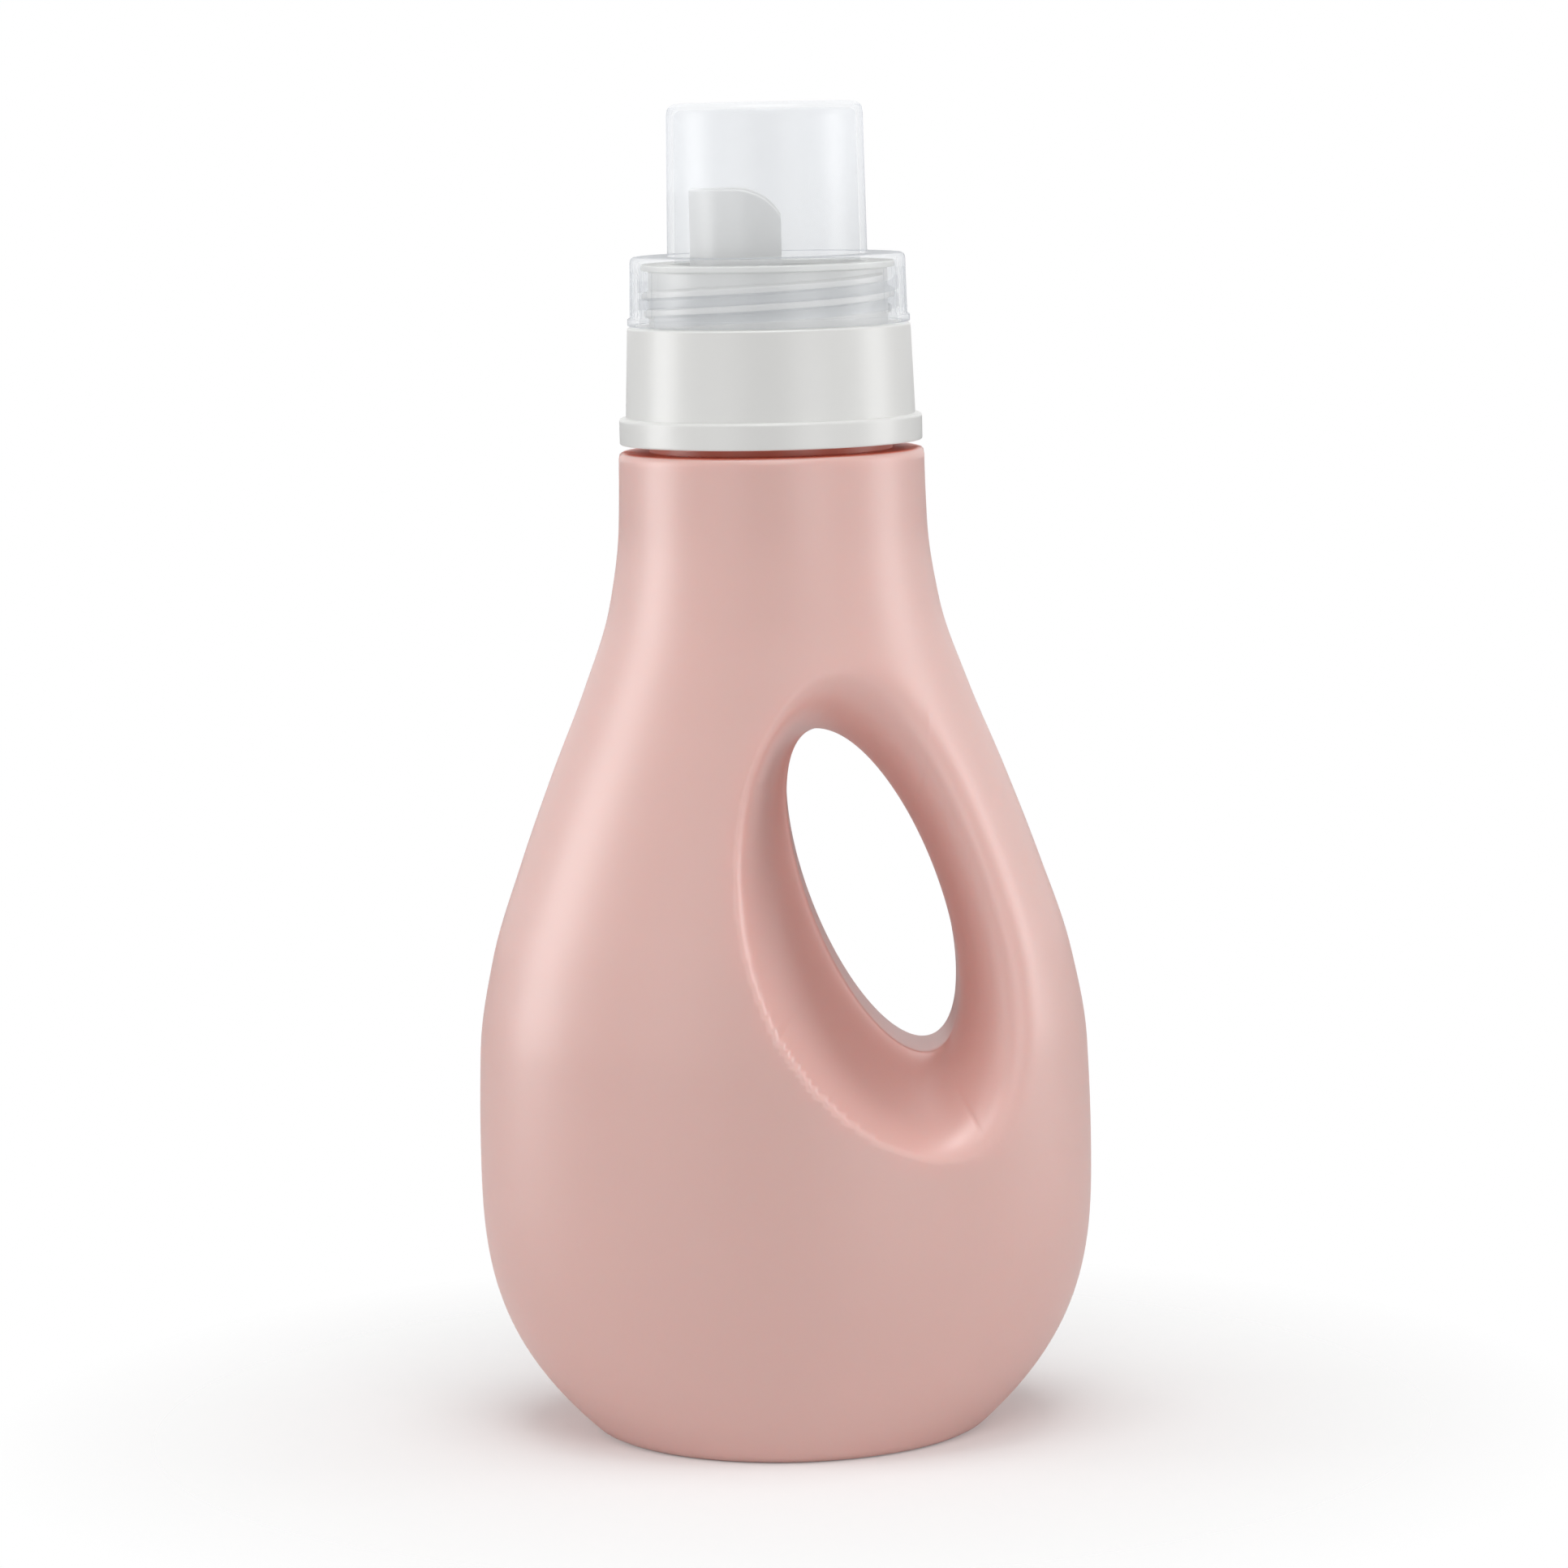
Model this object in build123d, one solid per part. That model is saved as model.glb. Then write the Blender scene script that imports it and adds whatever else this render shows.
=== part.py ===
from build123d import *
import math
import os

# Refillable detergent bottle with a see-through handle, a pouring collar and a measuring cap.
# Millimetres. The bottle stands on Z = 0 with its neck along +Z. The handle is on the +X side,
# the spout pours towards -X, and the mould's parting plane is Y = 0.

# Blow-moulded body
BELLY_WIDTH = 103.6
BELLY_DEPTH = 78.0
BELLY_HEIGHT = 48.5
FOOT_WIDTH = 65.4
FOOT_DEPTH = 69.2
FOOT_FULLNESS = 3.05
SHOULDER_HEIGHT = 165.5
SHOULDER_DIAMETER = 51.2
SHOULDER_ROUND = 0.9
FOOT_ROUND = 4.0
CAVITY_ROUND = 2.0
BODY_WALL = 1.3
BASE_WALL = 1.8
PUSH_UP_DIAMETER = 54.0
PUSH_UP_RISE = 3.0

# Share of the way from the shoulder's width to the belly's, by share of the height between them
FLANK = ((0.0, 1.0), (0.14, 0.984), (0.27, 0.89), (0.41, 0.69), (0.54, 0.474), (0.66, 0.257),
         (0.78, 0.08), (0.895, 0.01), (1.0, 0.0))
FOOT_STATIONS = (0.0, 0.11, 0.26, 0.48, 0.74)
DEPTH_LAG = 0.75

# Finger hole and the hollow that leads into it, one on each side of the parting plane
HOLE_INSET = 36.3
HOLE_RISE = 43.2
HOLE_LENGTH = 58.0
HOLE_WIDTH = 21.8
HOLE_TILT = 19.6
TUNNEL_DEPTH = 17.0
HOLLOW_SPREAD_LEFT = 10.0
HOLLOW_SPREAD_RIGHT = 25.0
HOLLOW_SPREAD_DOWN = 12.0
HOLLOW_SPREAD_UP = 13.0
HOLLOW_TILT = 12.0
BOWL_GROWTH = 0.6
ROLL_GROWTH = 1.7
HOLLOW_STATIONS = (0.0, 0.1, 0.3, 0.6, 1.0, 1.35)
CREST_ROUND = 5.0

# Bottle neck
NECK_DIAMETER = 40.8
NECK_BORE = 38.0
NECK_HEIGHT = 18.2
NECK_THREAD_LEAD = 4.2
NECK_THREAD_START = 6.0
NECK_THREAD_END = 5.9
NECK_RIDGE_HEIGHT = 1.3
NECK_RIDGE_ROOT = 2.4
NECK_RIDGE_CREST = 1.2

# Pouring collar
COLLAR_GAP = 1.3
COLLAR_THREAD_START = 2.7
COLLAR_THREAD_TURNS = 1.25
COLLAR_WALL = 1.6
COLLAR_FLARE = 0.7
COLLAR_DECK = 1.6
BEAD_STEP = 0.95
BEAD_HEIGHT = 4.4
BEAD_ROUND = 1.0
THREAD_GAP = 0.4
FLANK_GAP = 0.15
PLUG_GAP = 0.2
PLUG_WALL = 1.3
PLUG_LENGTH = 4.5
GASKET_THICKNESS = 1.0

# Threaded ring of the collar, which the cap screws onto
RING_STEP = 0.4
RING_WALL = 1.5
RING_HEIGHT = 9.4
CAP_THREAD_STARTS = 2
CAP_THREAD_LEAD = 5.9
CAP_THREAD_START = 2.2
CAP_THREAD_END = 1.6
CAP_RIDGE_HEIGHT = 1.2
CAP_RIDGE_ROOT = 1.9
CAP_RIDGE_CREST = 0.9

# Spout and the sloping drain floor round it
SPOUT_DIAMETER = 22.0
SPOUT_WALL = 1.2
SPOUT_CLEARANCE = 2.25
SPOUT_LEG = 4.3
SPOUT_HEIGHT = 22.8
SPOUT_LIP_LENGTH = 7.6
SPOUT_TOP_ROUND = 8.7
FLOOR_THICKNESS = 1.3
FLOOR_HIGH_SIDE = 3.4
FLOOR_TILT = 6.0
DRAIN_DIAMETER = 5.0
DRAIN_INSET = 4.9

# Measuring cap
CAP_GAP = 0.25
SKIRT_WALL = 1.6
SKIRT_DRAFT = 0.2
SKIRT_ROUND = 1.0
BAND_STEP = 0.4
BAND_HEIGHT = 1.2
CAP_WALL = 1.3
LINER_THICKNESS = 1.0
CUP_TOP_DIAMETER = 32.7
CUP_BOTTOM_DIAMETER = 33.4
CUP_HEIGHT = 25.3
CUP_WALL = 1.2
CUP_ROUND = 2.0
GRIP_COUNT = 17
GRIP_SPACING = 4.7
GRIP_WIDTH = 0.7
GRIP_DEPTH = 0.35
GRIP_FOOT = 1.6
GRIP_HEAD = 2.25
GRIP_FADE = 0.75

# Levels and radii that follow from the values above
hole_x = BELLY_WIDTH / 2 - HOLE_INSET
hole_z = BELLY_HEIGHT + HOLE_RISE
mouth_z = SHOULDER_HEIGHT + NECK_HEIGHT
collar_foot_z = SHOULDER_HEIGHT + COLLAR_GAP
collar_deck_z = mouth_z + GASKET_THICKNESS
collar_top_z = collar_deck_z + COLLAR_DECK
spout_top_z = collar_top_z + SPOUT_HEIGHT
ring_top_z = collar_top_z + RING_HEIGHT
cap_foot_z = collar_top_z + CAP_GAP
cap_ceiling_z = ring_top_z + LINER_THICKNESS
cap_step_z = cap_ceiling_z + CAP_WALL
cap_top_z = cap_step_z + CUP_HEIGHT
neck_radius = NECK_DIAMETER / 2
collar_bore_radius = neck_radius + NECK_RIDGE_HEIGHT + THREAD_GAP
collar_top_radius = collar_bore_radius + COLLAR_WALL
bead_radius = collar_top_radius + COLLAR_FLARE + BEAD_STEP
plug_radius = NECK_BORE / 2 - PLUG_GAP
ring_radius = neck_radius - RING_STEP
ring_bore_radius = ring_radius - RING_WALL
cap_bore_radius = ring_radius + CAP_RIDGE_HEIGHT + THREAD_GAP
skirt_radius = cap_bore_radius + SKIRT_WALL
spout_x = -(CUP_TOP_DIAMETER / 2 - CUP_WALL - SPOUT_CLEARANCE - SPOUT_DIAMETER / 2)
neck_thread_turns = (NECK_HEIGHT - NECK_THREAD_START - NECK_THREAD_END) / NECK_THREAD_LEAD
cap_thread_turns = (RING_HEIGHT - CAP_THREAD_START - CAP_THREAD_END) / CAP_THREAD_LEAD

# Small overlap that joins a ridge or a wall to the surface it stands on
ROOT = 0.2


def body_stations():
    """Height, half width and half depth of each section of the body."""
    half_width, half_depth = BELLY_WIDTH / 2, BELLY_DEPTH / 2
    shoulder = SHOULDER_DIAMETER / 2
    rows = []
    for share in FOOT_STATIONS:
        drop = (1 - share) ** FOOT_FULLNESS
        rows.append((share * BELLY_HEIGHT,
                     half_width - (half_width - FOOT_WIDTH / 2) * drop,
                     half_depth - (half_depth - FOOT_DEPTH / 2) * drop))
    for share, swell in FLANK:
        rows.append((BELLY_HEIGHT + share * (SHOULDER_HEIGHT - BELLY_HEIGHT),
                     shoulder + (half_width - shoulder) * swell,
                     shoulder + (half_depth - shoulder) * swell ** DEPTH_LAG))
    return rows


def body_form(inset=0.0):
    """Lofted body, or the space inside it when its sections are drawn in by a wall."""
    sections = [Plane.XY.offset(z) * Ellipse(width - inset, depth - inset)
                for z, width, depth in body_stations()]
    return loft(sections)


def hollow_oval(y, spread, wall=0.0):
    """Slanted oval of the finger hole at depth y, spread towards the body's face."""
    bowl, roll = spread ** BOWL_GROWTH, spread ** ROLL_GROWTH
    left, down = HOLLOW_SPREAD_LEFT * bowl, HOLLOW_SPREAD_DOWN * bowl
    right, up = HOLLOW_SPREAD_RIGHT * roll, HOLLOW_SPREAD_UP * roll
    tilt = math.radians(HOLE_TILT + (HOLLOW_TILT - HOLE_TILT) * min(spread, 1.0))
    centre = (hole_x + (right - left) / 2, y, hole_z + (up - down) / 2)
    plane = Plane(origin=centre,
                  x_dir=(math.cos(tilt), 0, math.sin(tilt)), z_dir=(0, -1, 0))
    return plane * Ellipse(HOLE_WIDTH / 2 + (left + right) / 2 + wall,
                           HOLE_LENGTH / 2 + (up + down) / 2 + wall)


def hollow_tool(wall=0.0):
    """Tunnel through the parting plane with a spoon-shaped hollow at each end."""
    rim = TUNNEL_DEPTH / 2 - wall
    reach = BELLY_DEPTH / 2 - TUNNEL_DEPTH / 2
    tool = loft([hollow_oval(-rim, 0, wall), hollow_oval(rim, 0, wall)])
    for side in (-1, 1):
        tool += loft([hollow_oval(side * (rim + share * reach), share, wall)
                      for share in HOLLOW_STATIONS])
    return tool


def with_hollow(form, wall, crest_round):
    """Form with the finger hole cut through it and the crests of the hollows rounded."""
    tool = hollow_tool(wall)
    cut = form - tool
    return fillet(new_edges(form, tool, combined=cut), crest_round)


def slab(low, high):
    """Flat block from one height to another, wider than the whole object."""
    return Plane.XY.offset(low) * Box(2 * BELLY_WIDTH, 2 * BELLY_WIDTH, high - low,
                                      align=(Align.CENTER, Align.CENTER, Align.MIN))


def tube(outer_radius, inner_radius, low, high):
    """Upright ring between two heights."""
    ring = Circle(outer_radius) - Circle(inner_radius)
    return extrude(Plane.XY.offset(low) * ring, high - low)


def rod(radius, low, high):
    """Upright round bar between two heights."""
    return extrude(Plane.XY.offset(low) * Circle(radius), high - low)


def push_up_dome(grow=0.0):
    """Ball whose top makes the raised middle of the base."""
    half = PUSH_UP_DIAMETER / 2
    ball = (half ** 2 + PUSH_UP_RISE ** 2) / (2 * PUSH_UP_RISE)
    return Pos(0, 0, PUSH_UP_RISE - ball) * Sphere(ball + grow)


def thread_ridge(radius, side, height, root_width, crest_width, lead, turns, start_z, start_angle):
    """Helical ridge standing outwards (side 1) or inwards (side -1) from a radius."""
    path = Helix(lead, lead * turns, radius, center=(0, 0, start_z))
    plane = Plane(origin=path @ 0, x_dir=(side, 0, 0), z_dir=path % 0)
    outline = Polygon((-ROOT, -root_width / 2), (height, -crest_width / 2),
                      (height, crest_width / 2), (-ROOT, root_width / 2), align=None)
    return Rot(0, 0, start_angle) * sweep(plane * outline, path=path, is_frenet=True)


def thread_seat(root_width, crest_width, height):
    """How far an inner ridge sits below the outer ridge that it pulls against."""
    slope = (root_width - crest_width) / 2 / height
    return (root_width + crest_width) / 2 - slope * THREAD_GAP + FLANK_GAP


def make_bottle():
    """Blow-moulded bottle: thin body with its handle, neck, thread and raised base."""
    body = body_form()
    rims = body.edges().filter_by(GeomType.BSPLINE)
    body = fillet(rims.group_by(Axis.Z)[0], FOOT_ROUND)
    body = fillet(body.edges().group_by(Axis.Z)[-1], SHOULDER_ROUND)
    body = with_hollow(body, 0.0, CREST_ROUND) - push_up_dome()

    cavity = body_form(BODY_WALL) & slab(BASE_WALL, SHOULDER_HEIGHT - BODY_WALL)
    cavity = fillet(cavity.edges().group_by(Axis.Z)[0], CAVITY_ROUND)
    cavity = with_hollow(cavity, BODY_WALL, CREST_ROUND - BODY_WALL) - push_up_dome(BASE_WALL)

    neck = rod(neck_radius, SHOULDER_HEIGHT - ROOT, mouth_z)
    ridge = thread_ridge(neck_radius, 1, NECK_RIDGE_HEIGHT, NECK_RIDGE_ROOT, NECK_RIDGE_CREST,
                         NECK_THREAD_LEAD, neck_thread_turns,
                         SHOULDER_HEIGHT + NECK_THREAD_START, 0)
    bore = rod(NECK_BORE / 2, SHOULDER_HEIGHT - 2 * BODY_WALL, mouth_z + ROOT)
    return body + neck + ridge - cavity - bore


def make_neck_gasket():
    """Soft flat ring between the bottle's mouth and the underside of the collar."""
    return tube(collar_bore_radius - THREAD_GAP, plug_radius + PLUG_GAP / 2,
                mouth_z, collar_deck_z)


def floor_plane():
    """Plane of the drain floor's top face, high behind the spout and low on the handle side."""
    middle = collar_top_z + FLOOR_HIGH_SIDE - ring_bore_radius * math.tan(math.radians(FLOOR_TILT))
    return Plane.XY.offset(middle).rotated((0, FLOOR_TILT, 0))


def collar_shell():
    """Turned part of the collar: skirt with its bead, deck, threaded ring and plug."""
    bead_z = collar_foot_z + BEAD_HEIGHT
    taper = COLLAR_FLARE / (collar_top_z - collar_foot_z)
    plug_z = collar_deck_z - PLUG_LENGTH
    corners = [
        (collar_bore_radius, collar_foot_z),
        (bead_radius, collar_foot_z),
        (bead_radius, bead_z),
        (collar_top_radius + COLLAR_FLARE - taper * BEAD_HEIGHT, bead_z),
        (collar_top_radius, collar_top_z),
        (ring_radius, collar_top_z),
        (ring_radius, ring_top_z),
        (ring_bore_radius, ring_top_z),
        (ring_bore_radius, collar_top_z),
        (plug_radius - PLUG_WALL, collar_top_z),
        (plug_radius - PLUG_WALL, plug_z),
        (plug_radius, plug_z),
        (plug_radius, collar_deck_z),
        (collar_bore_radius, collar_deck_z),
    ]
    profile = Plane.XZ * Polygon(*corners, align=None)
    shell = revolve(profile, Axis.Z)
    bead_edges = shell.edges().filter_by(GeomType.CIRCLE).filter_by(
        lambda edge: math.isclose(edge.radius, bead_radius, abs_tol=0.01))
    return fillet(bead_edges.sort_by(Axis.Z)[-1], BEAD_ROUND)


def spout_wall():
    """Trough that stands on the drain floor, open towards the handle."""
    outer, inner = SPOUT_DIAMETER / 2, SPOUT_DIAMETER / 2 - SPOUT_WALL
    trough = Circle(outer) - Circle(inner)
    trough -= Pos(outer, 0) * Rectangle(2 * outer, 4 * outer)
    for side in (-1, 1):
        trough += Pos(SPOUT_LEG / 2, side * (outer - SPOUT_WALL / 2)) * Rectangle(
            SPOUT_LEG, SPOUT_WALL)
    low_z = collar_deck_z
    wall = extrude(Pos(spout_x, 0, low_z) * trough, spout_top_z - low_z)

    back_x = spout_x - outer
    bend_x = back_x + SPOUT_LIP_LENGTH
    open_x = spout_x + SPOUT_LEG
    drop = SPOUT_TOP_ROUND - math.sqrt(SPOUT_TOP_ROUND ** 2 - (open_x - bend_x) ** 2)
    side_view = make_face([
        Line((back_x - ROOT, low_z), (back_x - ROOT, spout_top_z)),
        Line((back_x - ROOT, spout_top_z), (bend_x, spout_top_z)),
        RadiusArc((bend_x, spout_top_z), (open_x, spout_top_z - drop), SPOUT_TOP_ROUND),
        Line((open_x, spout_top_z - drop), (open_x, low_z)),
        Line((open_x, low_z), (back_x - ROOT, low_z)),
    ])
    return wall & extrude(Plane.XZ * side_view, SPOUT_DIAMETER, both=True)


def make_spout_collar():
    """Screw collar moulded in one piece with the spout and its drain floor."""
    floor = floor_plane()
    wide = 2 * BELLY_WIDTH
    above_floor = floor.offset(-FLOOR_THICKNESS) * Box(
        wide, wide, wide, align=(Align.CENTER, Align.CENTER, Align.MIN))
    floor_slab = floor * Box(
        wide, wide, FLOOR_THICKNESS, align=(Align.CENTER, Align.CENTER, Align.MAX))
    drain_floor = floor_slab & rod(ring_bore_radius + ROOT / 2, mouth_z, ring_top_z)
    drain_floor -= Pos(spout_x, 0) * rod(SPOUT_DIAMETER / 2 - SPOUT_WALL, mouth_z, ring_top_z)
    drain_hole = rod(DRAIN_DIAMETER / 2, mouth_z - ROOT, ring_top_z)
    drain_floor -= Pos(ring_bore_radius - DRAIN_INSET, 0) * drain_hole
    collar = collar_shell() + drain_floor + (spout_wall() & above_floor)

    for start in range(CAP_THREAD_STARTS):
        collar += thread_ridge(ring_radius, 1, CAP_RIDGE_HEIGHT, CAP_RIDGE_ROOT, CAP_RIDGE_CREST,
                               CAP_THREAD_LEAD, cap_thread_turns,
                               collar_top_z + CAP_THREAD_START, 360 / CAP_THREAD_STARTS * start)
    seat = thread_seat(NECK_RIDGE_ROOT, NECK_RIDGE_CREST, NECK_RIDGE_HEIGHT)
    start_z = collar_foot_z + COLLAR_THREAD_START
    climb = start_z - (SHOULDER_HEIGHT + NECK_THREAD_START - seat)
    return collar + thread_ridge(
        collar_bore_radius, -1, NECK_RIDGE_HEIGHT, NECK_RIDGE_ROOT, NECK_RIDGE_CREST,
        NECK_THREAD_LEAD, COLLAR_THREAD_TURNS, start_z, 360 * climb / NECK_THREAD_LEAD)


def make_cap_liner():
    """Soft flat ring in the cap, which seals on the top of the collar's threaded ring."""
    overlap = LINER_THICKNESS * 2
    return tube(cap_bore_radius - THREAD_GAP, ring_bore_radius - overlap, ring_top_z, cap_ceiling_z)


def cap_shell():
    """Turned part of the cap: cup above, wide skirt below."""
    cup_top, cup_foot = CUP_TOP_DIAMETER / 2, CUP_BOTTOM_DIAMETER / 2
    band_z = cap_foot_z + BAND_HEIGHT
    outline = [
        (0, cap_top_z), (cup_top, cap_top_z), (cup_foot, cap_step_z),
        (skirt_radius - SKIRT_DRAFT, cap_step_z), (skirt_radius, band_z),
        (skirt_radius + BAND_STEP, band_z), (skirt_radius + BAND_STEP, cap_foot_z),
        (cap_bore_radius, cap_foot_z),
        (cap_bore_radius, cap_ceiling_z), (cup_foot - CUP_WALL, cap_ceiling_z),
        (cup_top - CUP_WALL, cap_top_z - CUP_WALL), (0, cap_top_z - CUP_WALL),
    ]
    shell = revolve(Plane.XZ * Polygon(*outline, align=None), Axis.Z)
    circles = shell.edges().filter_by(GeomType.CIRCLE)
    shell = fillet(circles.sort_by(Axis.Z)[-1], CUP_ROUND)
    step_edge = shell.edges().filter_by(GeomType.CIRCLE).filter_by(
        lambda edge: math.isclose(edge.center().Z, cap_step_z, abs_tol=0.01)
        and edge.radius > ring_radius)
    return fillet(step_edge, SKIRT_ROUND)


def grip_grooves():
    """Upright grooves in two pads on the sides of the skirt, fading out at their ends."""
    grooves = []
    middle = (GRIP_COUNT - 1) / 2
    height = cap_step_z - cap_foot_z - GRIP_FOOT - GRIP_HEAD
    for pad in (0, 180):
        for index in range(GRIP_COUNT):
            share = (index - middle) / middle
            depth = GRIP_DEPTH * (1 - GRIP_FADE * share ** 4)
            angle = pad + (index - middle) * GRIP_SPACING
            cutter = Pos(skirt_radius - depth, 0, cap_foot_z + GRIP_FOOT) * Box(
                GRIP_DEPTH * 4, GRIP_WIDTH, height, align=(Align.MIN, Align.CENTER, Align.MIN))
            grooves.append(Rot(0, 0, angle) * cutter)
    return grooves


def make_measuring_cap():
    """Translucent cap: a measuring cup on a threaded skirt with two grip pads."""
    cap = cap_shell() - grip_grooves()
    seat = thread_seat(CAP_RIDGE_ROOT, CAP_RIDGE_CREST, CAP_RIDGE_HEIGHT)
    start_z = cap_foot_z + CAP_RIDGE_ROOT / 2 + ROOT / 2
    climb = start_z - (collar_top_z + CAP_THREAD_START - seat)
    for start in range(CAP_THREAD_STARTS):
        angle = 360 * climb / CAP_THREAD_LEAD + 360 / CAP_THREAD_STARTS * start
        cap += thread_ridge(cap_bore_radius, -1, CAP_RIDGE_HEIGHT, CAP_RIDGE_ROOT,
                            CAP_RIDGE_CREST, CAP_THREAD_LEAD, cap_thread_turns, start_z, angle)
    return cap


NODES = {
    "bottle": make_bottle,
    "neck_gasket": make_neck_gasket,
    "spout_collar": make_spout_collar,
    "cap_liner": make_cap_liner,
    "measuring_cap": make_measuring_cap,
}

os.makedirs("parts", exist_ok=True)
for node, make in NODES.items():
    solid = make()
    solid.label = node
    export_step(solid, f"parts/{node}.step")
    print(node, round(solid.volume / 1000, 2), "ml of plastic, valid:", solid.is_valid)
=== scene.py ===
# %% [markdown]
# # A refillable detergent bottle
# This lesson dresses a bottle for liquid detergent: a matte pink blown body with a see-through
# handle, a glossy white collar that screws onto its neck, and a frosted measuring cap with a
# pouring spout showing through it. The solids come from the frame, already in place and at their
# real size. Each cell below makes one piece or one finish.

# %% Load the frame
import math
import bmesh
import bpy
from mathutils import Matrix, Vector


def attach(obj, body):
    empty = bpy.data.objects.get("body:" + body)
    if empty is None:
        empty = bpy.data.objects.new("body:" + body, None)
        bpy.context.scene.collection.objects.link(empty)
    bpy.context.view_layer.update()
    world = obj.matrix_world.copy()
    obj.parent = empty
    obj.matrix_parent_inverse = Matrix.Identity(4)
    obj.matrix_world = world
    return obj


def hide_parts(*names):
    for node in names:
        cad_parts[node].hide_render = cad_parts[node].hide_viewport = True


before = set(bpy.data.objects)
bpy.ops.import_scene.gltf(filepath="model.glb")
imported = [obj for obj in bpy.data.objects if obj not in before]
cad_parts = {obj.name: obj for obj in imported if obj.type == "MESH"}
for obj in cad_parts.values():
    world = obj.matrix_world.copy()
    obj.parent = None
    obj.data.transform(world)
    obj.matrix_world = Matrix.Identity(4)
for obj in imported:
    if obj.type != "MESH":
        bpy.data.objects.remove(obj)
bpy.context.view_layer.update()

MM = 0.001
MERGE = 0.001 * MM
print("nodes:", sorted(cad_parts))

# %% [markdown]
# ## The camera
# The photograph looks slightly down on the bottle from about a metre away, through a long lens.
# The top of the bottle leans a little to the left, so the camera is rolled by the same angle.
# A long lens keeps the neck and the belly in nearly true proportion.

# %% Camera
PHOTO_PIXELS = 1932
FOCAL_PIXELS = 7300
SENSOR_WIDTH = 36.0
CAMERA_DISTANCE = 992.2 * MM
CAMERA_HEIGHT = 228.8 * MM
CAMERA_SIDE = 0.95 * MM
CAMERA_TILT = math.radians(6.889)
CAMERA_ROLL = math.radians(1.2)

camera_data = bpy.data.cameras.new("photo_camera")
camera_data.sensor_width = SENSOR_WIDTH
camera_data.lens = FOCAL_PIXELS / PHOTO_PIXELS * SENSOR_WIDTH
camera = bpy.data.objects.new("photo_camera", camera_data)
bpy.context.scene.collection.objects.link(camera)
camera.matrix_world = (Matrix.Translation((CAMERA_SIDE, -CAMERA_DISTANCE, CAMERA_HEIGHT))
                       @ Matrix.Rotation(math.pi / 2 - CAMERA_TILT, 4, "X")
                       @ Matrix.Rotation(-CAMERA_ROLL, 4, "Z"))
bpy.context.scene.camera = camera
bpy.context.scene.view_settings.view_transform = "Standard"
print(f"lens {camera_data.lens:.1f} mm")

# %% [markdown]
# ## Writing materials as expressions
# A node material is easier to read as a line of maths. The small class below wraps a socket of a
# node, so that `1 - mask` or `mask * 0.5` adds the Math node that does it. Every other node comes
# from one method, which takes the node's type, its settings and the values of its sockets.

# %% Shader maths
class Wire:
    """A socket of a node, which can be used in a sum."""

    def __init__(self, tree, socket):
        self.tree, self.socket = tree, socket

    def maths(self, operation, *others):
        """A Math node on this socket, followed by the others."""
        return maths(self.tree, operation, self, *others)

    def __add__(self, other): return self.maths("ADD", other)
    def __radd__(self, other): return maths(self.tree, "ADD", other, self)
    def __sub__(self, other): return self.maths("SUBTRACT", other)
    def __rsub__(self, other): return maths(self.tree, "SUBTRACT", other, self)
    def __mul__(self, other): return self.maths("MULTIPLY", other)
    def __rmul__(self, other): return maths(self.tree, "MULTIPLY", other, self)

    def __getitem__(self, name):
        return Wire(self.tree, self.socket.node.outputs[name])


def node(tree, kind, settings=None, inputs=None, output=0):
    """Adds a node: its settings first, then the values or wires of its sockets."""
    made = tree.nodes.new(kind)
    for name, value in (settings or {}).items():
        setattr(made, name, value)
    for name, value in (inputs or {}).items():
        if isinstance(value, Wire):
            tree.links.new(value.socket, made.inputs[name])
        else:
            made.inputs[name].default_value = value
    return Wire(tree, made.outputs[output]) if made.outputs else None


def maths(tree, operation, *values):
    """A Math node on values and wires, in the order given."""
    return node(tree, "ShaderNodeMath", {"operation": operation}, dict(enumerate(values)))


def new_material(name):
    """An empty node material, and the tree to build in."""
    material = bpy.data.materials.new(name)
    material.use_nodes = True
    material.node_tree.nodes.clear()
    return material, material.node_tree


def surface(tree, shader):
    """Puts a shader on the material's output."""
    node(tree, "ShaderNodeOutputMaterial", inputs={"Surface": shader})


def srgb(red, green, blue):
    """A colour as an eye reads it, from 0 to 255, turned into the light that a shader wants."""
    channels = []
    for value in (red, green, blue):
        share = value / 255
        channels.append(share / 12.92 if share <= 0.04045 else ((share + 0.055) / 1.055) ** 2.4)
    return (*channels, 1.0)


# %% [markdown]
# ## The studio
# The photograph was taken on white, with two broad soft lights at the sides, which draw the
# bright bands down the flanks, and one above, which leaves a thin shadow round the foot. A smaller
# one high in front lifts the faces, and two weak low ones reach into the hollow of the handle. The
# floor is a plain pale sheet. It adds a little white for the camera alone, and away from the
# bottle it gives way to the white background, so that it reads as white without throwing more
# light on the bottle.

# %% Floor and world
FLOOR_SIZE = 8.0
FLOOR_COLOUR = (0.80, 0.80, 0.80, 1.0)
FLOOR_GLOW = 0.16
FADE_START, FADE_LENGTH = 0.038, 0.10
WORLD_LEVEL = 0.20
WHITE_LIGHT = (1.0, 1.0, 1.0, 1.0)


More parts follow.
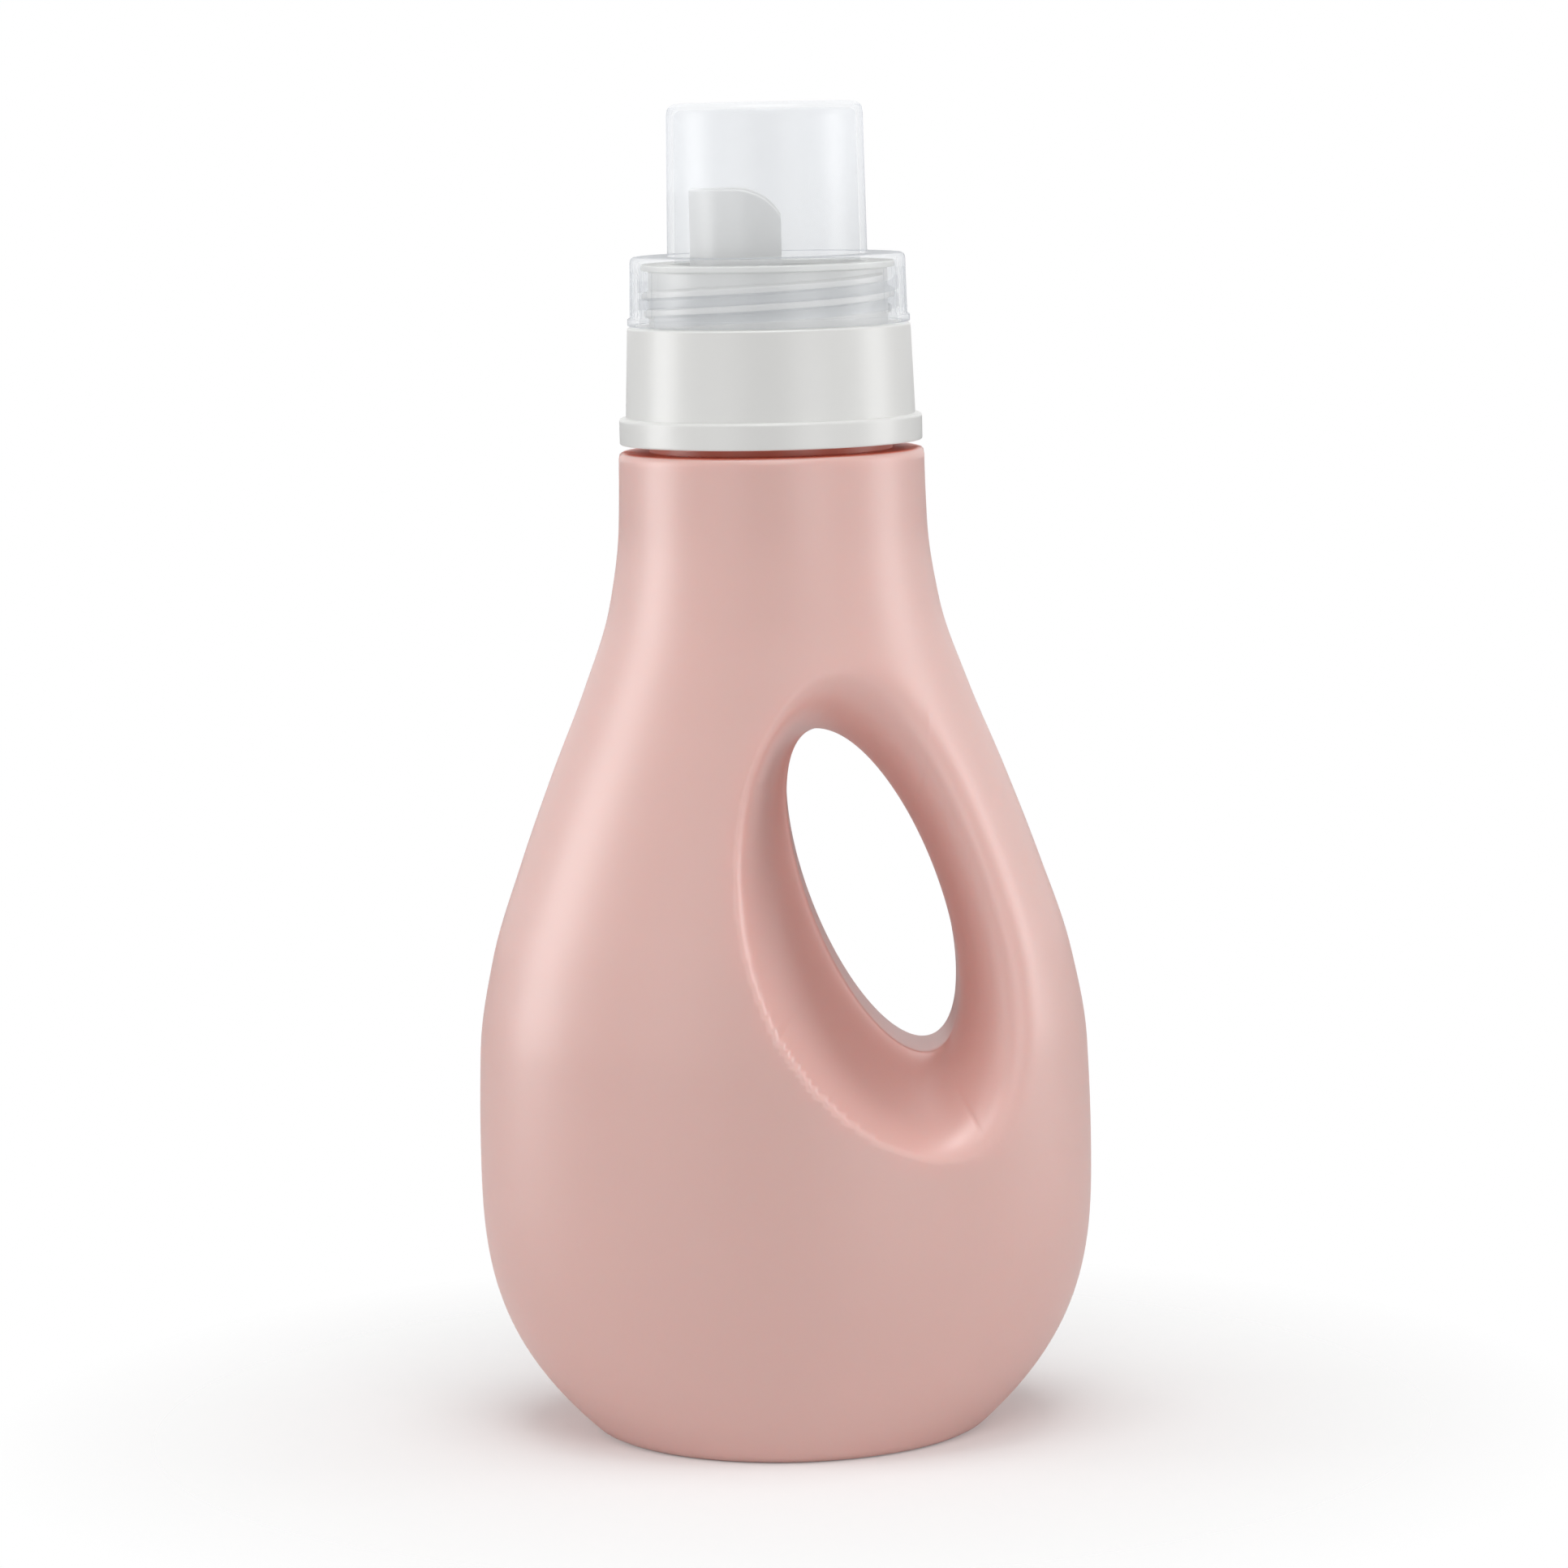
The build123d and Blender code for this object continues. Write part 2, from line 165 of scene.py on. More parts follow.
def make_floor():
    """A wide sheet under the bottle, at the level that it stands on."""
    mesh = bmesh.new()
    bmesh.ops.create_grid(mesh, x_segments=2, y_segments=2, size=FLOOR_SIZE / 2)
    data = bpy.data.meshes.new("floor")
    mesh.to_mesh(data)
    mesh.free()
    floor = bpy.data.objects.new("floor", data)
    bpy.context.scene.collection.objects.link(floor)
    material, tree = new_material("white_floor")
    paper = node(tree, "ShaderNodeBsdfDiffuse", inputs={"Color": FLOOR_COLOUR})
    glow = node(tree, "ShaderNodeEmission", inputs={"Strength": FLOOR_GLOW})
    bright = node(tree, "ShaderNodeAddShader", inputs={0: paper, 1: glow})
    seen = node(tree, "ShaderNodeLightPath")["Is Camera Ray"]
    place = node(tree, "ShaderNodeTexCoord")["Object"]
    distance = node(tree, "ShaderNodeVectorMath", {"operation": "LENGTH"}, {0: place})["Value"]
    gone = node(tree, "ShaderNodeMath", {"operation": "DIVIDE", "use_clamp": True},
                {0: distance - FADE_START, 1: FADE_LENGTH})
    clear = node(tree, "ShaderNodeBsdfTransparent")
    shown = node(tree, "ShaderNodeMixShader", inputs={0: gone, 1: bright, 2: clear})
    surface(tree, node(tree, "ShaderNodeMixShader", inputs={0: seen, 1: paper, 2: shown}))
    data.materials.append(material)


def make_world():
    """Even white light from all round, and pure white for what the camera sees directly."""
    world = bpy.data.worlds.new("white_room")
    bpy.context.scene.world = world
    world.use_nodes = True
    tree = world.node_tree
    tree.nodes.clear()
    path = node(tree, "ShaderNodeLightPath")
    direct = path["Is Camera Ray"].maths("MAXIMUM", path["Is Transmission Ray"])
    direct = direct.maths("MAXIMUM", path["Is Glossy Ray"])
    level = direct * (1 - WORLD_LEVEL) + WORLD_LEVEL
    light = node(tree, "ShaderNodeBackground", inputs={"Color": WHITE_LIGHT, "Strength": level})
    node(tree, "ShaderNodeOutputWorld", inputs={"Surface": light})


make_floor()
make_world()

# %% [markdown]
# The lamps are area lights, large for their distance so that their edges stay soft. Each one is
# aimed at the middle of the bottle.

# %% Lamps
AIM = Vector((0, 0, 105 * MM))


def softbox(name, place, width, height, watts):
    """A rectangular lamp, in metres and watts, that faces the middle of the bottle."""
    lamp = bpy.data.lights.new(name, "AREA")
    lamp.shape = "RECTANGLE"
    lamp.size, lamp.size_y = width, height
    lamp.energy = watts
    holder = bpy.data.objects.new(name, lamp)
    bpy.context.scene.collection.objects.link(holder)
    place = Vector(place)
    holder.rotation_euler = (AIM - place).to_track_quat("-Z", "Y").to_euler()
    holder.location = place


softbox("left_softbox", (-0.75, 0.03, 0.08), 0.35, 0.8, 3.5)
softbox("right_softbox", (0.75, 0.03, 0.08), 0.35, 0.8, 2.5)
softbox("top_softbox", (0.0, -0.04, 1.0), 0.6, 0.5, 4.2)
softbox("front_softbox", (0.10, -0.62, 0.72), 0.5, 0.4, 1.5)
softbox("left_fill", (-0.40, -0.62, 0.06), 0.35, 0.3, 0.45)
softbox("right_fill", (0.36, -0.62, 0.06), 0.35, 0.3, 0.85)

# %% [markdown]
# ## Materials
# Four finishes, one for each slot of the record: matte pink polyethylene, glossy white
# polypropylene, frosted clear polypropylene and soft off-white foam. All of them use the place on
# the piece itself, so that nothing slides when the cap turns.

# %% Plastics
# Heights of the band at the neck's foot, just under the collar, where the pink gets a painted
# red-orange shade standing in for the warm light bounced round the shadowed gap.
PAINTED_SHADE_BAND = (165.3, 166.9)
PAINTED_SHADE_EDGE = 0.2 * MM
CLOUD_SCALE, CLOUD_CHANGE = 45.0, 0.05
GRAIN_STRENGTH = 0.25
COAT_ROUGHNESS = 0.32
GLOW_SPREAD, GLOW_REACH = (1.0, 0.3, 0.2), 6 * MM


def bumps(tree, scale, strength, depth):
    """A fine uneven skin, as a mould leaves it."""
    place = node(tree, "ShaderNodeTexCoord")["Object"]
    grain = node(tree, "ShaderNodeTexNoise", {"noise_dimensions": "3D"},
                 {"Vector": place, "Scale": scale, "Detail": 3.0})
    return node(tree, "ShaderNodeBump", inputs={"Strength": strength, "Distance": depth,
                                                "Height": grain["Fac"]})


def plastic(name, colour, roughness, grain_scale, grain_depth, gloss=0.5, coat=0.0, glow=0.0,
            painted_gap_shade=None):
    """An opaque moulded plastic with a faintly uneven skin and a gloss that varies a little."""
    material, tree = new_material(name)
    place = node(tree, "ShaderNodeTexCoord")["Object"]
    # Painted shade: inside that band the base colour turns deep red-orange, drawing the glow of
    # pink light in the shadowed gap under the collar.
    if painted_gap_shade:
        height = node(tree, "ShaderNodeSeparateXYZ", inputs={"Vector": place})["Z"]
        middle, half = sum(PAINTED_SHADE_BAND) / 2 * MM, (PAINTED_SHADE_BAND[1] - PAINTED_SHADE_BAND[0]) / 2 * MM
        off = (height - middle).maths("ABSOLUTE")
        inside = node(tree, "ShaderNodeMath", {"operation": "MULTIPLY", "use_clamp": True},
                      {0: half - off, 1: 1 / PAINTED_SHADE_EDGE})
        colour = node(tree, "ShaderNodeMix", {"data_type": "RGBA"},
                      {0: inside, 6: colour, 7: painted_gap_shade}, output=2)
    cloud = node(tree, "ShaderNodeTexNoise", {"noise_dimensions": "3D"},
                 {"Vector": place, "Scale": CLOUD_SCALE, "Detail": 2.0})["Fac"]
    surface(tree, node(tree, "ShaderNodeBsdfPrincipled", inputs={
        "Base Color": colour,
        "Roughness": roughness + (cloud - 0.5) * CLOUD_CHANGE,
        "Specular IOR Level": gloss,
        "Coat Weight": coat,
        "Coat Roughness": COAT_ROUGHNESS,
        "Subsurface Weight": glow,
        "Subsurface Radius": GLOW_SPREAD,
        "Subsurface Scale": GLOW_REACH,
        "Normal": bumps(tree, grain_scale, GRAIN_STRENGTH, grain_depth),
    }))
    return material


# The last colour is the painted red-orange shade of the gap under the collar.
PINK = plastic("pink_polyethylene", srgb(231, 182, 174), 0.45, 900, 0.05 * MM, gloss=0.9,
               coat=0.4, glow=0.25, painted_gap_shade=srgb(240, 112, 78))
WHITE = plastic("white_polypropylene", srgb(230, 230, 228), 0.33, 500, 0.02 * MM, coat=0.3)
FOAM = plastic("seal_foam", srgb(232, 232, 228), 0.75, 1500, 0.05 * MM)


# %% [markdown]
# The cap is thin and milky rather than glassy, so it isn't refracting plastic. A clear shader is
# mixed with a milky one, which thickens towards the outline of the outer skin, as a curved wall
# does when it is looked along. Light passes nearly unhindered, so that the spout inside is lit.

# %% Frosted plastic
CAP_FOOT, CAP_CEILING, CAP_STEP, CAP_TOP = 186.55, 196.7, 198.0, 223.3
CAP_BORE, SKIRT_RADIUS = 21.6, 23.2
SKIRT_MIDDLE, CUP_MIDDLE, STEP_MARGIN = 22.4, 15.95, 0.1
# The second colour is a painted shade for the darker outline of the cap's wall seen edge-on.
MILK, MILK_OUTLINE_SHADE = srgb(233, 237, 243), srgb(150, 153, 160)
MILK_ROUGHNESS, MILK_GLOW = 0.35, 0.55
HAZE, OUTLINE_HAZE, OUTLINE_POWER = 0.20, 0.8, 6.0
LIGHT_PASSED = 0.8
MIRROR, MIRROR_ROUGHNESS = 0.02, 0.3


def frosted(name):
    """Thin clear plastic with a milky skin and a smooth gloss over it."""
    material, tree = new_material(name)
    edge = node(tree, "ShaderNodeLayerWeight", inputs={"Blend": 0.5})["Facing"]
    place = node(tree, "ShaderNodeTexCoord")["Object"]
    height = node(tree, "ShaderNodeSeparateXYZ", inputs={"Vector": place})["Z"]
    radius = node(tree, "ShaderNodeVectorMath", {"operation": "LENGTH"}, {
        0: node(tree, "ShaderNodeVectorMath", {"operation": "MULTIPLY"},
                {0: place, 1: (1, 1, 0)})})["Value"]
    on_cup = height.maths("GREATER_THAN", (CAP_STEP - STEP_MARGIN) * MM)
    wall_middle = SKIRT_MIDDLE * MM - on_cup * (SKIRT_MIDDLE - CUP_MIDDLE) * MM
    outside_skin = radius.maths("GREATER_THAN", wall_middle)
    outline = edge.maths("POWER", OUTLINE_POWER) * outside_skin
    # Painted shade: towards the outline of the outer skin the milky colour turns grey, drawing the
    # dark rim of the wall where it is looked along.
    colour = node(tree, "ShaderNodeMix", {"data_type": "RGBA"},
                  {0: outline, 6: MILK, 7: MILK_OUTLINE_SHADE}, output=2)
    body = node(tree, "ShaderNodeBsdfPrincipled", inputs={
        "Base Color": colour, "Roughness": MILK_ROUGHNESS,
        "Normal": bumps(tree, 600, 0.2, 0.02 * MM)})
    through_light = node(tree, "ShaderNodeBsdfTranslucent", inputs={"Color": MILK})
    milk = node(tree, "ShaderNodeMixShader", inputs={0: MILK_GLOW, 1: body, 2: through_light})
    clear = node(tree, "ShaderNodeBsdfTransparent")
    path = node(tree, "ShaderNodeLightPath")
    light = path["Is Shadow Ray"].maths("MAXIMUM", path["Is Diffuse Ray"])
    haze = (HAZE + outline * OUTLINE_HAZE) * (1 - light * LIGHT_PASSED)
    skin = node(tree, "ShaderNodeMixShader", inputs={0: haze, 1: clear, 2: milk})
    gloss = node(tree, "ShaderNodeBsdfGlossy",
                 inputs={"Color": WHITE_LIGHT, "Roughness": MIRROR_ROUGHNESS})
    inner = node(tree, "ShaderNodeNewGeometry")["Backfacing"]
    mirror = (1 - light) * (1 - inner) * MIRROR
    surface(tree, node(tree, "ShaderNodeMixShader", inputs={0: mirror, 1: skin, 2: gloss}))
    return material


FROST = frosted("frosted_polypropylene")
print("materials:", [material.name for material in (PINK, WHITE, FOAM, FROST)])

# %% [markdown]
# ## Shaping tools
# Almost every surface here is a sheet: a flat grid whose corners are sent to their places by a
# small function of two shares, `u` across and `v` along. Turned pieces are an outline spun round
# the neck's axis. Their corners are rounded first, because a moulded edge is never quite sharp
# and its highlight is what tells the eye that the piece is real.

# %% Sheets, outlines and spins
def sheet(mesh, across, along, place):
    """A grid of faces; place(u, v) gives each corner's point in millimetres."""
    made = bmesh.ops.create_grid(mesh, x_segments=across, y_segments=along, size=0.5)
    for vertex in made["verts"]:
        vertex.co = Vector(place(vertex.co.x + 0.5, vertex.co.y + 0.5)) * MM
    return made["verts"]


def rounded(corners, steps=4, closed=True):
    """An outline of (radius, height, rounding) corners with each one turned into a short arc."""
    points = []
    count = len(corners)
    for index, (x, z, rounding) in enumerate(corners):
        here = Vector((x, z))
        if rounding == 0 or (not closed and index in (0, count - 1)):
            points.append(here)
            continue
        before = Vector(corners[index - 1][:2]) - here
        after = Vector(corners[(index + 1) % count][:2]) - here
        opening = before.angle(after)
        reach = min(rounding / math.tan(opening / 2), before.length * 0.48, after.length * 0.48)
        first, last = here + before.normalized() * reach, here + after.normalized() * reach
        for step in range(steps + 1):
            share = step / steps
            points.append((1 - share) ** 2 * first + 2 * share * (1 - share) * here
                          + share ** 2 * last)
    return points


def turn(mesh, outline, steps=192):
    """Spins an outline round the neck's axis; one that starts off the axis is closed."""
    vertices = [mesh.verts.new((point.x * MM, 0, point.y * MM)) for point in outline]
    pairs = list(zip(vertices, vertices[1:]))
    if outline[0].x > 0:
        pairs.append((vertices[-1], vertices[0]))
    edges = [mesh.edges.new(pair) for pair in pairs]
    bmesh.ops.spin(mesh, geom=vertices + edges, cent=(0, 0, 0), axis=(0, 0, 1),
                   angle=math.tau, steps=steps, use_merge=True)


# Height, width at the root, width at the crest, and rise in one turn
NECK_THREAD = (1.3, 2.4, 1.2, 4.2)
CAP_THREAD = (1.2, 1.9, 0.9, 5.9)
RIDGE_SUNK, RIDGE_ROUND = 0.2, 0.2
RIDGE_FADE_DEGREES, RIDGE_END_SHARE = 12, 0.15
RIDGE_STEPS = 140


def ridge(mesh, radius, side, thread, turns, start_z, start_angle):
    """A helical thread ridge whose height fades in and out at its ends."""
    height, root, crest, lead = thread
    section = rounded([(-RIDGE_SUNK, -root / 2, 0), (height, -crest / 2, RIDGE_ROUND),
                       (height, crest / 2, RIDGE_ROUND), (-RIDGE_SUNK, root / 2, 0)], steps=3)
    fade = RIDGE_FADE_DEGREES / (360 * turns)

    def place(u, v):
        point = section[round(u * len(section)) % len(section)]
        rise = min(1, v / fade, (1 - v) / fade)
        share = RIDGE_END_SHARE + (1 - RIDGE_END_SHARE) * rise
        reach = radius + side * (point.x * share if point.x > 0 else point.x)
        angle = math.radians(start_angle) + math.tau * turns * v
        return (reach * math.cos(angle), reach * math.sin(angle),
                start_z + lead * turns * v + point.y)

    sheet(mesh, len(section), round(RIDGE_STEPS * turns), place)


def mesh_object(mesh, name):
    """Makes an object of the mesh, at the origin."""
    data = bpy.data.meshes.new(name)
    mesh.to_mesh(data)
    mesh.free()
    made = bpy.data.objects.new(name, data)
    bpy.context.scene.collection.objects.link(made)
    return made


def finished(mesh, body, material, old_node, flat_faces=True, sharp=40):
    """Closes a mesh, smooths it up to an angle and puts it in place of its CAD node."""
    bmesh.ops.remove_doubles(mesh, verts=mesh.verts, dist=MERGE)
    open_edges = [edge for edge in mesh.edges if edge.is_boundary]
    bmesh.ops.holes_fill(mesh, edges=open_edges, sides=0)
    bmesh.ops.recalc_face_normals(mesh, faces=mesh.faces)
    for face in mesh.faces:
        face.smooth = True
    for edge in mesh.edges:
        edge.smooth = edge.calc_face_angle(0) < math.radians(sharp)
    loose = sum(1 for edge in mesh.edges if len(edge.link_faces) != 2)
    piece = mesh_object(mesh, old_node + "_skin")
    piece.data.materials.append(material)
    if flat_faces:
        weighted = piece.modifiers.new("weighted_normals", "WEIGHTED_NORMAL")
        weighted.keep_sharp = True
    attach(piece, body)
    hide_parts(old_node)
    print(f"{piece.name}: {len(piece.data.polygons)} faces, {loose} edges without two faces")


# %% [markdown]
# ## The blown body
# The body could be cut from a block with booleans, but a blown bottle has no sharp cuts: its
# surfaces flow into each other. So half of the body is one sheet, wrapped from the finger hole's
# rim out to the parting line, the neck and the base. Its depth is the smaller of two depths, that
# of the plain oval body and that of the spoon-shaped hollow round the handle, blended where they
# meet. The blend makes the soft crest. The other half is its mirror image.

# %% Body sections
BELLY_WIDTH, BELLY_DEPTH, BELLY_HEIGHT = 103.6, 78.0, 48.5
FOOT_WIDTH, FOOT_DEPTH, FOOT_FULLNESS = 65.4, 69.2, 3.05
SHOULDER_HEIGHT, SHOULDER_RADIUS = 165.5, 25.6
FLANK = ((0.0, 1.0), (0.14, 0.984), (0.27, 0.89), (0.41, 0.69), (0.54, 0.474), (0.66, 0.257),
         (0.78, 0.08), (0.895, 0.01), (1.0, 0.0))
DEPTH_LAG = 0.75
BODY_WALL, BASE_WALL = 1.3, 1.8
FOOT_ROUND, SHOULDER_ROUND = 1.45, 0.9
CAVITY_FOOT_ROUND, CAVITY_SHOULDER_ROUND = 0.75, 0.5
BEND_START = 0.64
PUSH_UP_RADIUS, PUSH_UP_RISE = 27.0, 3.0
PUSH_UP_RINGS = (26, 24, 20, 16, 11, 7, 3, 0)
NECK_RADIUS, BORE_RADIUS, MOUTH_HEIGHT, LIP_ROUND = 20.4, 19.0, 183.7, 0.4
NECK_THREAD_START, NECK_THREAD_TURNS = 6.0, 1.5


def through(points, x):
    """A smooth curve through the points, which never overshoots them."""
    for index in range(len(points) - 1):
        if x <= points[index + 1][0]:
            break

    def slope(place):
        if place in (0, len(points) - 1):
            return 0
        (x0, y0), (x1, y1), (x2, y2) = points[place - 1:place + 2]
        left, right = (y1 - y0) / (x1 - x0), (y2 - y1) / (x2 - x1)
        return 0 if left * right <= 0 else 2 * left * right / (left + right)

    (x0, y0), (x1, y1) = points[index], points[index + 1]
    span = x1 - x0
    t = (x - x0) / span
    return ((1 + 2 * t) * (1 - t) ** 2 * y0 + t * (1 - t) ** 2 * span * slope(index)
            + t * t * (3 - 2 * t) * y1 + t * t * (t - 1) * span * slope(index + 1))


def half_sizes(z):
    """Half width and half depth of the body at a height."""
    half_width, half_depth = BELLY_WIDTH / 2, BELLY_DEPTH / 2
    if z < BELLY_HEIGHT:
        drop = (1 - z / BELLY_HEIGHT) ** FOOT_FULLNESS
        return (half_width - (half_width - FOOT_WIDTH / 2) * drop,
                half_depth - (half_depth - FOOT_DEPTH / 2) * drop)
    swell = through(FLANK, (z - BELLY_HEIGHT) / (SHOULDER_HEIGHT - BELLY_HEIGHT))
    return (SHOULDER_RADIUS + (half_width - SHOULDER_RADIUS) * swell,
            SHOULDER_RADIUS + (half_depth - SHOULDER_RADIUS) * swell ** DEPTH_LAG)


def skin_rows(inset, low, high, foot_round, top_round, neck, spacing):
    """(height, half width, half depth) down the skin, from the neck's foot to the push-up."""
    def wall(z):
        width, depth = half_sizes(z)
        return z, width - inset, depth - inset

    def bend(first, corner, last, steps=5):
        rows = []
        for step in range(steps + 1):
            t = step / steps
            rows.append(tuple((1 - t) ** 2 * a + 2 * t * (1 - t) * b + t * t * c
                              for a, b, c in zip(first, corner, last)))
        return rows

    top = wall(high - top_round)
    shoulder = (high, top[1], top[2])
    rows = [(high, neck, neck), (high, neck + 1, neck + 1)]
    rows += bend((high, top[1] - top_round, top[2] - top_round), shoulder, top)
    height = high - top_round - low - BEND_START * foot_round
    steps = round(height / spacing)
    rows += [wall(high - top_round - height * step / steps) for step in range(1, steps)]
    start, corner = wall(low + BEND_START * foot_round), wall(low)
    rows += bend(start, corner, (low, corner[1] - foot_round, corner[2] - foot_round))
    rows.append((low, PUSH_UP_RADIUS, PUSH_UP_RADIUS))
    return rows


outer_rows = skin_rows(0.0, 0.0, SHOULDER_HEIGHT, FOOT_ROUND, SHOULDER_ROUND, NECK_RADIUS,
                       spacing=1.0)
print("rows of the outer skin:", len(outer_rows))

# %% [markdown]
# ### The hollow of the handle
# The finger hole is a slanted oval. Towards the face it spreads: quickly on the left and below,
# like the bowl of a spoon, and slowly on the right and above, where the surface rolls over into
# the handle. For any point of the front view, `hollow_depth` finds how deep the hollow's surface
# lies there by halving the range of ovals until one passes through the point.

# %% Hollow
HOLE_X, HOLE_Z = 15.5, 91.7
HOLE_HALF_WIDTH, HOLE_HALF_LENGTH, HOLE_TILT = 10.9, 29.0, 19.6
HOLLOW_TILT, TUNNEL_HALF = 12.0, 8.5
SPREAD_LEFT, SPREAD_RIGHT, SPREAD_DOWN, SPREAD_UP = 10.0, 25.0, 12.0, 13.0
BOWL_GROWTH, ROLL_GROWTH = 0.6, 1.7
HOLLOW_REACH = BELLY_DEPTH / 2 - TUNNEL_HALF
RIM_ROUND = 0.4
CREST_BLEND = 12.0
CREST_PASSES = 8
WIDEST_SPREAD, HALVINGS = 1.6, 26


def oval(spread, wall):
    """Centre, half width, half length and tilt of the hollow's oval at a share of its depth."""
    bowl, roll = spread ** BOWL_GROWTH, spread ** ROLL_GROWTH
    left, down = SPREAD_LEFT * bowl, SPREAD_DOWN * bowl
    right, up = SPREAD_RIGHT * roll, SPREAD_UP * roll
    tilt = math.radians(HOLE_TILT + (HOLLOW_TILT - HOLE_TILT) * min(spread, 1.0))
    return (HOLE_X + (right - left) / 2, HOLE_Z + (up - down) / 2,
            HOLE_HALF_WIDTH + (left + right) / 2 + wall,
            HOLE_HALF_LENGTH + (up + down) / 2 + wall, tilt)


def outside(spread, wall, x, z):
    """Over 1 where the point lies outside the oval."""
    centre_x, centre_z, width, length, tilt = oval(spread, wall)
    across = (x - centre_x) * math.cos(tilt) + (z - centre_z) * math.sin(tilt)
    along = (z - centre_z) * math.cos(tilt) - (x - centre_x) * math.sin(tilt)
    return (across / width) ** 2 + (along / length) ** 2


def hollow_depth(x, z, wall):
    """Distance of the hollow's surface from the parting plane at a point of the front view."""
    low, high = 0.0, WIDEST_SPREAD
    if outside(high, wall, x, z) > 1:
        return math.inf
    for _ in range(HALVINGS):
        middle = (low + high) / 2
        if outside(middle, wall, x, z) > 1:
            low = middle
        else:
            high = middle
    return TUNNEL_HALF - wall + high * HOLLOW_REACH


def blended(a, b):
    """The smaller of two depths, rounded off where they are nearly equal."""
    near = max(CREST_BLEND - abs(a - b), 0) / CREST_BLEND
    return min(a, b) - near * near * CREST_BLEND / 4


# %% Body sheets
NECK_STEPS = 72
SIDE_STEPS = 88
AROUND = 2 * (NECK_STEPS + SIDE_STEPS)
OUTER_STEPS, INNER_STEPS, TUNNEL_STEPS = 104, 26, 4
ROW_CROWDING = 1.5
RIM_VIEW_WIDTH = 55


def lengths_along(rows):
    """Distance travelled down the skin to each row."""
    travelled = [0.0]
    for (z0, x0, _), (z1, x1, _) in zip(rows, rows[1:]):
        travelled.append(travelled[-1] + math.hypot(z1 - z0, x1 - x0))
    return travelled


def skin_sheet(mesh, rows, wall, out_steps):
    """Half of a skin, from the finger hole's rim out to its neck, parting line and base."""
    travelled = lengths_along(rows)
    total = travelled[-1]

    def row_at(distance):
        distance = min(max(distance, 0), total)
        for index in range(len(rows) - 1):
            if distance <= travelled[index + 1]:
                break
        share = (distance - travelled[index]) / (travelled[index + 1] - travelled[index])
        return [a + (b - a) * share for a, b in zip(rows[index], rows[index + 1])]

    def border(step):
        """Angle round the neck and distance down the skin on the edge of the half."""
        step %= AROUND
        if step < NECK_STEPS:
            return -90 + 180 * step / NECK_STEPS, 0
        step -= NECK_STEPS
        if step < SIDE_STEPS:
            return 90, total * step / SIDE_STEPS
        step -= SIDE_STEPS
        if step < NECK_STEPS:
            return 90 - 180 * step / NECK_STEPS, total
        return -90, total * (1 - (step - NECK_STEPS) / SIDE_STEPS)

    hole_x, hole_z, width, length, tilt = oval(0.0, wall)

    def distance_of(height):
        wall_rows = [i for i in range(len(rows)) if rows[i][0] >= height]
        index = wall_rows[-1]
        share = (rows[index][0] - height) / (rows[index][0] - rows[index + 1][0])
        return travelled[index] + (travelled[index + 1] - travelled[index]) * share

    hole_distance = distance_of(hole_z)
    rim = []
    for step in range(AROUND):
        angle, distance = border(step)
        out_x, out_z = angle / 90 * RIM_VIEW_WIDTH - hole_x, hole_distance - distance
        across = out_x * math.cos(tilt) + out_z * math.sin(tilt)
        along = out_z * math.cos(tilt) - out_x * math.sin(tilt)
        turn_angle = math.atan2(along / length, across / width)
        across, along = width * math.cos(turn_angle), length * math.sin(turn_angle)
        x = hole_x + across * math.cos(tilt) - along * math.sin(tilt)
        z = hole_z + across * math.sin(tilt) + along * math.cos(tilt)
        distance = distance_of(z)
        rim.append((math.degrees(math.asin(x / row_at(distance)[1])), distance, x, z))

    def place(u, v):
        step = round(u * AROUND) % AROUND
        angle, distance, rim_x, rim_z = rim[step]
        to_angle, to_distance = border(step)
        share = v ** ROW_CROWDING
        angle += (to_angle - angle) * share
        distance += (to_distance - distance) * share
        z, half_width, half_depth = row_at(distance)
        x = half_width * math.sin(math.radians(angle))
        depth = half_depth * math.cos(math.radians(angle))
        hollow = hollow_depth(x, z, wall)
        near_crest.append(v > 0 and abs(hollow - depth) < CREST_BLEND)
        if v == 0:
            return rim_x, -(TUNNEL_HALF - wall - RIM_ROUND), rim_z
        if hollow < depth + CREST_BLEND:
            depth = blended(depth, hollow)
            close = max(1 - math.hypot(x - rim_x, z - rim_z) / RIM_ROUND, 0)
            depth -= RIM_ROUND * (1 - math.sqrt(1 - close * close))
        return x, -depth, z

    def tunnel(u, v):
        _, _, rim_x, rim_z = rim[round(u * AROUND) % AROUND]
        return rim_x, -(TUNNEL_HALF - wall - RIM_ROUND) * (1 - v), rim_z

    near_crest = []
    verts = sheet(mesh, AROUND, out_steps, place)
    bmesh.ops.remove_doubles(mesh, verts=verts, dist=MERGE)
    soft = [vertex for vertex, near in zip(verts, near_crest) if near and vertex.is_valid]
    for _ in range(CREST_PASSES):
        bmesh.ops.smooth_vert(mesh, verts=soft, factor=0.5, use_axis_y=True)
    sheet(mesh, AROUND, TUNNEL_STEPS, tunnel)


def half_turned(mesh, outline):
    """Half of a turned surface, which meets the half sheets at its ends."""
    def place(u, v):
        point = outline[round(v * (len(outline) - 1))]
        angle = math.radians(-90 + 180 * round(u * NECK_STEPS) / NECK_STEPS)
        return point.x * math.sin(angle), -point.x * math.cos(angle), point.y
    sheet(mesh, NECK_STEPS, len(outline) - 1, place)


def push_up(lift):
    """Outline of the raised middle of the base."""
    ball = (PUSH_UP_RADIUS ** 2 + PUSH_UP_RISE ** 2) / (2 * PUSH_UP_RISE)
    outline = [Vector((PUSH_UP_RADIUS, lift))]
    for radius in PUSH_UP_RINGS:
        z = PUSH_UP_RISE - ball + math.sqrt((ball + lift) ** 2 - radius ** 2)
        outline.append(Vector((radius, z)))
    return outline


